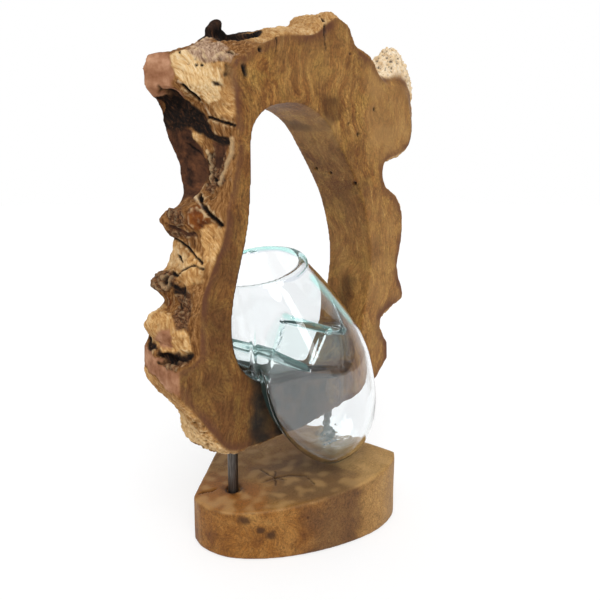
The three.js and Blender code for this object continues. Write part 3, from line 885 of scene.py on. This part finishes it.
def sawn_plinth():
    skin = even_skin(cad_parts["base_plinth"].data, PLINTH_CELL)
    edges = edges_of(skin)
    points = relaxed(points_of(skin), edges, 3)
    set_points(skin, points)
    normals = normals_of(skin)
    x, y, z = points.T
    low, high = box_of("base_plinth")
    up = ease(normals[:, 2], 0.5, 0.9)
    side = ease(np.abs(normals[:, 2]), 0.6, 0.2)
    top_height = TOP_LEFT + (TOP_RIGHT - TOP_LEFT) * (x - low[0]) / (high[0] - low[0])
    rim = ease(np.abs(top_height - z), 3.4, 0.8)

    saw_marks = 0.10 * swell(points * (1, 1, 0.2), 2.6, 4.0) * side
    dents = 0.35 * swell(points, 24, 1.0) * ease(z, 1, 6)
    chips = 0.8 * rim * side * patches(points, 9, 6.0, 0.1, 0.7)
    split, depth = near_lines(shaken(points, 8, 1.0), PLINTH_SPLITS)
    set_points(skin, points + normals * (saw_marks + dents - chips - depth * up)[:, None])

    # Dark rings round the rods' feet, dark splits, and painted shade along the lower edge, where the plinth
    # meets the floor.
    feet = [sum(box_of(rod)) / 2 for rod in RODS]
    to_foot = np.min([np.hypot(x - foot[0], y - foot[1]) for foot in feet], axis=0)
    ragged = patches(points, 7, 2.0, -0.4, 0.5)
    stain = either(ease(to_foot, 10.5, 6.5) * up, 0.55 * ease(to_foot, 18, 8) * up * ragged,
                   split * up * 0.6, ease(z, 1.8, 0.5) * side * 0.7)
    knot = np.zeros(len(points))
    for (across, height), radius in PLINTH_KNOTS:
        away = np.hypot(x - across, z - height) + 1.2 * swell(points, 5, 3.0)
        knot = np.maximum(knot, ease(away, radius * 1.5, radius * 0.5) * side * ease(y, -30, -40))
    drift = shaken(points, 22, 9)[:, :2]
    worn = rim * (0.1 + 0.4 * patches(points, 13, 3.0, -0.1, 0.6)) * (1 - stain)
    keep_masks(skin, top=up, stain=stain, knot=0.85 * knot, worn=worn,
               grey=spread(drift, GREYED) * (0.9 + 0.1 * up), amber=spread(drift, AMBER) * up,
               gold=spread(drift, GOLDEN) * (0.7 + 0.3 * up))
    finished_piece("sawn_plinth", skin, oiled_plinth_wood(), "stand", "base_plinth")


def steel_rod(node, material):
    """A rod turned round its own axis, with its ends broken by half a millimetre."""
    low, high = box_of(node)
    middle = (low + high) / 2
    radius = (high[0] - low[0]) / 2
    broken = 0.5
    end = 4
    rings = 24
    around = 64
    outline = [(radius - broken, low[2]), (radius, low[2] + broken)]
    outline += [(radius, height) for height in np.linspace(low[2] + end, high[2] - end, rings)]
    outline += [(radius, high[2] - broken), (radius - broken, high[2])]
    last = (len(outline) - 1) * around
    faces = [tuple(reversed(range(around))), tuple(range(last, last + around))]
    points = []
    for reach, height in outline:
        for k in range(around):
            angle = 2 * math.pi * k / around
            points.append((middle[0] + reach * math.cos(angle), middle[1] + reach * math.sin(angle), height))
    for ring in range(len(outline) - 1):
        for k in range(around):
            a = ring * around + k
            b = ring * around + (k + 1) % around
            faces.append((a, b, b + around, a + around))
    mesh = bpy.data.meshes.new(node)
    mesh.from_pydata([tuple(c * MM for c in p) for p in points], [], faces)
    mesh.validate()
    finished_piece("steel_" + node, mesh, material, "stand", node)


# The glass. Its sizes are those of the CAD model, but its seat on the sill has a sloping floor. It is an
# egg along a leaning axis, whose profile gives the distance from the mouth and the radius. In front of
# the slab it is cut by a second egg further forward, which rounds it off towards the wood, and behind the
# front face that one fades out by growing.

SLAB_LIFT = 96.85
MOUTH_UP = np.array((-0.32, -0.06, 0.945))
SECOND_EGG_FORWARD = np.array((0, -42, 0))
SECOND_EGG_GROWN = 34
MOUTH = np.array((-23, 10, 170 + SLAB_LIFT))
LOBE = np.array((24, -33, 27 + SLAB_LIFT))
EGG_PROFILE = [
    (-34, 38), (0, 44), (36, 55.5), (60, 62.5), (94, 69), (112, 70), (131, 68.5), (165, 60), (190, 48),
    (208, 32), (216, 14), (218, 0),
]

# The profile is closed this far beyond the axis. It is charted over these distances along and out.
EGG_CLOSED = 60
EGG_CHART = ((-33, 0), (260, 160))

GLASS_CELL = 1.4
MOUTH_WALL = 2.4
WALL = 2.9
FOOT_WALL = 3.4
OFF_WOOD = 1.2

# The hollow under the seat, seen from the front: a point of each side, in x and height above SLAB_LIFT,
# and how far the side leans to the right, or rises, for each millimetre. Beside its floor stands a step.
# The cosine makes a height above the floor a distance from it.
HOLLOW_SIDE = (-42, 64, 0.24)
HOLLOW_FLOOR = (-38, 89.5, -0.527)
STEP_RISER = (13.5, 62, 22 / 34)
STEP_TREAD = (37, 99.5, -12 / 61)
FLOOR_COSINE = 0.88

# Folds where the hot glass bent over the sill and its step: line, radius of the bead and depth of tint.
FOLDS = [
    ([(-37, -31, 190), (-37, 30, 189)], 3.8, 0.6),
    ([(-37, -31, 190), (6, -32, 167)], 2.8, 0.8),
    ([(19, 24, 172), (27, 26, 185), (35, 29, 193), (41, 31, 202)], 2.8, 0.5),
    ([(41, 31, 202), (41, 0, 200), (41, -33, 198)], 3.6, 0.95),
    ([(41, -26, 196), (27, -27, 183), (16, -30, 169)], 1.7, 0.3),
]

# The middle of the tool marks in the foot, and the thick shoulder low on the right of the rim.
FOOT_MARKS = np.array((48, -26, 76))
SHOULDER = [((5, -48, 257), (17, -60, 238)), ((17, -60, 238), (33, -68, 218))]


def catmull(values, steps):
    """Values read along a smooth curve through them."""
    padded = np.concatenate([[2 * values[0] - values[1]], values, [2 * values[-1] - values[-2]]])
    k = np.minimum(steps.astype(int), len(values) - 2)
    t = steps - k
    a, b, c, d = (padded[k + n] for n in range(4))
    bend = 2 * a - 5 * b + 4 * c - d
    return 0.5 * (2 * b + (c - a) * t + bend * t ** 2 + (3 * b - a - 3 * c + d) * t ** 3)


def egg_chart():
    """Distance from the egg's skin by the distance along its axis and out from it: below zero inside."""
    steps = np.linspace(0, len(EGG_PROFILE) - 1, 700)
    profile = np.stack([catmull(np.array(EGG_PROFILE, float)[:, k], steps) for k in (0, 1)], 1)
    ends = EGG_PROFILE[-1][0], EGG_PROFILE[0][0]
    closed = [tuple(p) for p in profile] + [(end, -EGG_CLOSED) for end in ends]
    return charted(lambda spots: off_outline(spots, closed), *EGG_CHART, 1.0)


# The corners of the window's outline on the front face lie in this ellipse, in x and z. The slab's left
# live edge reaches into it: its corners lie left of the first x, and above a height left of the second.
WINDOW_MIDDLE = np.array((13.0, 283.0))
WINDOW_REACH = (114.4, 159.2)
LIVE_CORNERS = -87
HIGH_LIVE_CORNERS = (-72.7, 280)

# The outline is charted over these x and z.
WINDOW_CHART = ((-110, 130), (140, 430))


def window_chart():
    """Distance from the window's outline by x and z: above zero in the wood."""
    slab = points_of(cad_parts["wood_frame"].data)
    face = slab[np.abs(slab[:, 1] - FRONT_FACE) < 0.05][:, [0, 2]]
    x, z = face.T
    live = (x < LIVE_CORNERS) | (x < HIGH_LIVE_CORNERS[0]) & (z > HIGH_LIVE_CORNERS[1])
    near = (((face - WINDOW_MIDDLE) / WINDOW_REACH) ** 2).sum(1) < 1
    rim = np.unique(np.round(face[near & ~live] - WINDOW_MIDDLE, 2), axis=0)
    rim = rim[np.argsort(np.arctan2(rim[:, 1], rim[:, 0]))] + WINDOW_MIDDLE
    rim = np.concatenate([rim, rim[:1]])
    steps = np.linspace(0, len(rim) - 1, 300)
    rim = [tuple(p) for p in np.stack([catmull(rim[:, k], steps) for k in (0, 1)], 1)[:-1]]
    return charted(lambda spots: off_outline(spots, rim), *WINDOW_CHART, 1.0)


# The level ways away from the camera and to its right.
TO_BEHIND = (0.71, 0.70, 0)
TO_RIGHT = (0.70, -0.71, 0)


def rim_sides(points):
    """How far a point lies behind the mouth's middle, and how far to its right, each from 0 to 1."""
    behind = ease((points - MOUTH) @ TO_BEHIND, -25, 15)
    right = ease((points - MOUTH) @ TO_RIGHT, 22, 44)
    return behind, right


def glass_field(window):
    """The glass as one field in millimetres: below zero inside the glass, above zero outside. With it
    come the field of the beads alone and the distances from the wood and from the hollow, for masks."""
    axis = (LOBE - MOUTH) / np.linalg.norm(LOBE - MOUTH)
    mouth_up = MOUTH_UP / np.linalg.norm(MOUTH_UP)
    egg = egg_chart()

    def off_egg(points):
        rel = points - MOUTH
        along = rel @ axis
        out = np.linalg.norm(rel - along[:, None] * axis, axis=1)
        return egg(np.stack([along, out], 1))

    def off_wood(points):
        before = FRONT_FACE - points[:, 1]
        open_by = -window(points[:, [0, 2]])
        clear = np.hypot(np.maximum(before, 0), np.maximum(open_by, 0))
        return np.where((before < 0) & (open_by < 0), np.maximum(before, open_by), clear)

    def off_step(points):
        """Distance from the hollow under the seat, below zero inside it."""
        x, y, z = points.T
        height = z - SLAB_LIFT

        def left_of(side):
            across, up, lean = side
            return across + (height - up) * lean - x

        def above(side):
            across, up, rise = side
            return height - up - (x - across) * rise

        floor = np.maximum(left_of(HOLLOW_SIDE), above(HOLLOW_FLOOR) * FLOOR_COSINE)
        step = np.maximum(left_of(STEP_RISER), above(STEP_TREAD))
        return np.maximum(np.minimum(floor, step), FRONT_FACE - y)

    def beads(points):
        """The rim's bead, plumper behind and at its right corner, and the beads of the folds."""
        behind, right = rim_sides(points)
        plump = 1.15 + 0.8 * behind + 1.7 * right
        lip = (points - MOUTH) @ mouth_up
        rim = plump - np.hypot(lip + 0.7 * plump, off_egg(points) + MOUTH_WALL / 2)
        return rim, [radius - off_lines(points, zip(line[:-1], line[1:])) for line, radius, _ in FOLDS]

    def field(points):
        wood = off_wood(points)
        step = off_step(points)
        faded = SECOND_EGG_GROWN * (1 - ease(FRONT_FACE - points[:, 1], -8, 2))
        body = joined(off_egg(points), off_egg(points - SECOND_EGG_FORWARD) - faded, 8)
        outer = joined(joined(body, OFF_WOOD - wood, 7), -step, 6)
        along = (points - MOUTH) @ axis
        wall = MOUTH_WALL + (WALL - MOUTH_WALL) * ease(along, -10, 50)
        wall = wall + (FOOT_WALL - WALL) * ease(along, 150, 212)
        inner = joined(body + wall, OFF_WOOD + WALL - wood, 12)
        inner = joined(inner, WALL - step, 10)
        shell = joined(outer, -inner, 2.0)
        shell = joined(shell, (points - MOUTH) @ mouth_up, 2.0)
        rim, folds = beads(points)
        folds = np.minimum(either(*folds), -outer - 0.2)
        return -joined(joined(-shell, rim, 1.5), folds, 3.0)

    return field, beads, off_wood, off_step


def blown_glass(off_window):
    field, beads, off_wood, off_step = glass_field(off_window)
    low, high = box_of("glass_vase")
    skin = skin_of(field, low - 4, high + 4, GLASS_CELL)
    edges = edges_of(skin)
    points = points_of(skin)
    nudge = 0.25

    def slope_of(points, here):
        return np.stack([(field(points + nudge * step) - here) / nudge for step in np.eye(3)], 1)

    # The skin is smoothed and drawn back onto the field's surface, in turns.
    for _ in range(3):
        points = relaxed(points, edges, 1, 0.4)
        here = field(points)
        slope = slope_of(points, here)
        steep = np.maximum((slope ** 2).sum(1), 0.25)
        points = points - slope * np.clip(here / steep, -0.6, 0.6)[:, None]
    points = relaxed(points, edges, 2, 0.3)

    # Ripples where the glass chilled against the sill's front edge, squiggles in the upright fold and
    # tool marks in the foot.
    wood = off_wood(points)
    sill = ease(wood, 7, 2) * zone(points, "left end of the seat")
    upright, _, _ = FOLDS[2]
    upright = ease(off_lines(points, zip(upright[:-1], upright[1:])), 9, 4)
    foot = ease(np.linalg.norm(points - FOOT_MARKS, axis=1), 40, 14)
    slope = slope_of(points, field(points))
    slope /= np.maximum(np.linalg.norm(slope, axis=1), 0.2)[:, None]
    ripple = 0.5 * sill * rough(points * (1, 1, 2.4), 9, 2) + 0.5 * upright * rough(points, 6, 2, 3.0)
    ripple += 0.4 * foot * rough(points * (1, 1, 2.5), 7, 2, 5.0)
    points = points + slope * ripple[:, None]
    set_points(skin, points)

    # Thick glass is tinted aqua. It and the marks of the tools and of the cold wood also get a painted glow.
    rim, folds = beads(points)
    behind, right = rim_sides(points)
    tinted = [ease(bead, -1.2, 0.4) * tint for bead, (_, _, tint) in zip(folds, FOLDS)]
    lip = ease(rim, -0.9, 0.2) * np.clip(0.08 + 0.85 * behind - 0.2 * right, 0, 1)
    shoulder = 0.7 * ease(off_lines(points, SHOULDER), 9, 4)
    seat = 0.16 * ease(np.abs(off_step(points)), 7, 3) * zone(points, "above the sill")
    marks = 0.35 + 0.65 * ease(rough(points * (1, 1, 2.5), 7, 2, 5.0), -0.1, 0.5)
    chilled = 0.06 * ease(wood, 5, 2) * zone(points, "below the sill")
    keep_masks(skin, thick=either(lip, shoulder, seat, *tinted), silvery=either(foot * marks, chilled))
    finished_piece("blown_glass", skin, recycled_glass(), "vase", "glass_vase")


# Studio.

# The floor lies just below the plinth, so that their faces don't meet.
FLOOR_GAP = -0.0002

# The way from the camera to the backdrop, and the tones of the room from in front to behind, as they are
# seen through the glass and as they are mirrored.
BACKDROP_SIDE = (0.7145, 0.6997, -0.25)
LIGHT_ROOM = ((0.0, "#bfc1c5"), (0.3, "#dfe1e5"), (0.55, "#f1f3f7"), (1.0, "#f6f8fb"))
DIM_ROOM = ((0.0, "#606266"), (0.25, "#8f9195"), (0.55, "#d9dbdf"), (1.0, "#f2f4f9"))


def backdrop_sight(tree):
    """1 for what the eye sees straight on, through glass or in a reflection, and 0 for light that falls
    on things. With it come 1 for what is seen straight on alone and 1 for reflections alone."""
    rays = add(tree, "LightPath")
    sight = rays["Is Camera Ray"]
    for other in ("Is Glossy Ray", "Is Transmission Ray"):
        sight = add(tree, "Math", {0: sight, 1: rays[other]}, operation="ADD", use_clamp=True)[0]
    return sight, rays["Is Camera Ray"], rays["Is Glossy Ray"]


def white_floor():
    bpy.ops.mesh.primitive_circle_add(vertices=96, radius=6, fill_type="NGON")
    floor = bpy.context.object
    floor.name = "floor"
    floor.location.z = FLOOR_GAP
    material, tree = new_material("white floor")
    sight, _, _ = backdrop_sight(tree)
    lift = add(tree, "Math", {0: sight, 1: 0.55}, operation="MULTIPLY")[0]
    paint = add(tree, "BsdfDiffuse", {"Color": "#f4f4f4"})[0]
    glow = add(tree, "Emission", {"Color": "#ffffff", "Strength": 1.12})[0]
    shader = add(tree, "MixShader", {0: lift, 1: paint, 2: glow})[0]
    add(tree, "OutputMaterial", {"Surface": shader})
    floor.data.materials.append(material)


def room():
    """A white backdrop. What the glass bends and mirrors of the room is dimmer in front than behind."""
    world = bpy.data.worlds.new("studio")
    world.use_nodes = True
    bpy.context.scene.world = world
    tree = world.node_tree
    tree.nodes.clear()
    sight, straight_on, mirrored = backdrop_sight(tree)
    unseen = add(tree, "Math", {0: 1.0, 1: sight}, operation="SUBTRACT")[0]
    towards = add(tree, "TexCoord")["Generated"]
    behind = add(tree, "VectorMath", {0: towards, 1: BACKDROP_SIDE}, operation="DOT_PRODUCT")["Value"]
    tint, mirror = (add(tree, "ValToRGB", {"Fac": behind}, stops=stops)[0]
                    for stops in (LIGHT_ROOM, DIM_ROOM))
    for share, colour in ((mirrored, mirror), (straight_on, "#ffffff"), (unseen, "#ffffff")):
        tint = add(tree, "Mix", {0: share, 6: tint, 7: colour}, data_type="RGBA")[2]
    level = add(tree, "MapRange", {"Value": sight, "To Min": 0.72, "To Max": 1.0})[0]
    sky = add(tree, "Background", {"Color": tint, "Strength": level})[0]
    add(tree, "OutputWorld", {"Surface": sky})


def lamps():
    """Soft light from the upper left, and two windows that only the glass and the steel mirror."""
    sun = bpy.data.lights.new("soft_sun", "SUN")
    sun.energy = 1.5
    sun.angle = math.radians(35)
    holder = put_in_scene("soft_sun", sun)
    holder.rotation_euler = Vector((0.8, 0.9, -1.3)).to_track_quat("-Z", "Y").to_euler()

    windows = (("left_window", (-1.9, 0.1, 1.2), 1.3), ("front_window", (-0.5, -2.1, 1.3), 1.2))
    for name, place, height in windows:
        pane = bpy.data.lights.new(name, "AREA")
        pane.shape = "RECTANGLE"
        pane.size = 0.5
        pane.size_y = height
        pane.energy = 12
        holder = put_in_scene(name, pane)
        holder.location = place
        aim = Vector((0.0, 0.0, 0.22)) - Vector(place)
        holder.rotation_euler = aim.to_track_quat("-Z", "Y").to_euler()
        holder.visible_diffuse = False
        holder.visible_transmission = False


def photo_camera():
    """The photograph's view: from the front left, a little above the middle of the slab."""
    data = bpy.data.cameras.new("camera")
    data.lens = 42.0
    data.sensor_width = 36.0
    camera = put_in_scene("camera", data)
    camera.location = (-0.472, -0.494, 0.363)
    camera.rotation_euler = (math.radians(79), 0, math.radians(-45.6))
    bpy.context.scene.camera = camera


photo_camera()
white_floor()
room()
lamps()
off_window = window_chart()
root_slab(off_window)
sawn_plinth()
rod_steel = dark_rod_steel()
for rod in RODS:
    steel_rod(rod, rod_steel)
blown_glass(off_window)

bpy.context.scene.view_settings.view_transform = "Standard"
